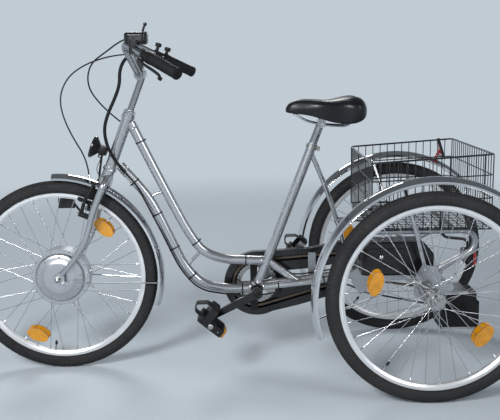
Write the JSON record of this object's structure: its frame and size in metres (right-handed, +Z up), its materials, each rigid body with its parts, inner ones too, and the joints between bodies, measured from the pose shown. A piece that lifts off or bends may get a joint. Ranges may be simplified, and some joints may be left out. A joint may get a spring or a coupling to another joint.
{
  "type": "electric tricycle",
  "caption": "Step-through electric adult tricycle with a front hub motor, swept handlebar, saddle, chain drive, rear battery, mudguards and a wire basket.",
  "frame": {"origin": "on the floor, midway between the axles in the wheels' middle plane", "axes": "+X forward, +Y to the rider's left, +Z up"},
  "size_m": [1.845, 0.798, 1.156],
  "materials": {
    "silver_paint": "satin",
    "black_metal": "satin",
    "tyre": "matt",
    "rim_alloy": "bright",
    "spoke_steel": "bright",
    "motor_alloy": "satin",
    "plate_alloy": "satin",
    "chrome": "polished",
    "zinc_steel": "satin",
    "black_plastic": "matt",
    "gloss_black": "gloss",
    "saddle_skin": "gloss",
    "rubber": "matt",
    "chain_steel": "oiled",
    "amber": "clear",
    "red": "clear",
    "wire_black": "gloss"
  },
  "bodies": {
    "frame": {"head_tube": "silver_paint", "upper_tube": "silver_paint", "lower_tube": "silver_paint", "seat_tube": "silver_paint", "chainstays": "silver_paint", "rear_strut": "chrome", "seat_post": "chrome", "saddle": "saddle_skin", "hub_plates": "plate_alloy", "gear_hub": "zinc_steel", "axle_frame": "silver_paint", "chains": "chain_steel", "chain_guard": "gloss_black", "carrier": "plate_alloy", "basket": "wire_black", "battery_tray": "plate_alloy", "battery": "gloss_black", "controller_box": "black_plastic", "rear_mudguards": "chrome", "mudguard_stays": "chrome", "rear_reflector": "red", "tail_lamp": "red", "gear_cable_loop": "black_plastic", "gear_cable": "black_plastic", "wiring_conduit": "black_plastic", "power_cable": "black_plastic"},
    "steering": {"fork": "silver_paint", "front_axle": "zinc_steel", "stem": "plate_alloy", "handlebar": "chrome", "grips": "rubber", "brake_levers": "black_plastic", "console": "black_plastic", "bar_controls": "black_plastic", "headlamp": "black_plastic", "front_mudguard": "chrome", "front_brake": "black_metal", "sensor_box": "black_plastic", "front_brake_cable": "black_plastic"},
    "front_wheel": {"front_tyre": "tyre", "front_rim": "rim_alloy", "front_spokes": "spoke_steel", "front_hub_motor": "motor_alloy", "front_reflectors": "amber"},
    "rear_wheel_left": {"rear_left_tyre": "tyre", "rear_left_rim": "rim_alloy", "rear_left_spokes": "spoke_steel", "rear_left_reflectors": "amber", "rear_left_hub": "zinc_steel"},
    "rear_wheel_right": {"rear_right_tyre": "tyre", "rear_right_rim": "rim_alloy", "rear_right_spokes": "spoke_steel", "rear_right_reflectors": "amber", "rear_right_hub": "zinc_steel"},
    "crank": {"crankset": "plate_alloy", "chainring": "zinc_steel"},
    "pedal_left": {"left_pedal": "black_plastic"},
    "pedal_right": {"right_pedal": "black_plastic"}
  },
  "joints": [
    {"name": "steering", "type": "hinge", "parent": "frame", "child": "steering", "pos_m": [0.56582, 0, 0.31443], "axis": [-0.3714, 0, 0.9285], "range_deg": [-45, 45], "deforming": ["gear_cable_loop", "wiring_conduit"]},
    {"name": "front_wheel", "type": "hinge", "parent": "steering", "child": "front_wheel", "pos_m": [0.596, 0, 0.3265], "axis": [0, 1, 0], "continuous": true},
    {"name": "rear_wheel_left", "type": "hinge", "parent": "frame", "child": "rear_wheel_left", "pos_m": [-0.596, 0.341, 0.3265], "axis": [0, 1, 0], "continuous": true},
    {"name": "rear_wheel_right", "type": "hinge", "parent": "frame", "child": "rear_wheel_right", "pos_m": [-0.596, -0.341, 0.3265], "axis": [0, 1, 0], "continuous": true},
    {"name": "crank", "type": "hinge", "parent": "frame", "child": "crank", "pos_m": [-0.068, 0, 0.276], "axis": [0, 1, 0], "continuous": true},
    {"name": "pedal_left", "type": "hinge", "parent": "crank", "child": "pedal_left", "pos_m": [0.08347, 0.1453, 0.19882], "axis": [0, 1, 0], "continuous": true},
    {"name": "pedal_right", "type": "hinge", "parent": "crank", "child": "pedal_right", "pos_m": [-0.21947, -0.1453, 0.35318], "axis": [0, 1, 0], "continuous": true}
  ]
}
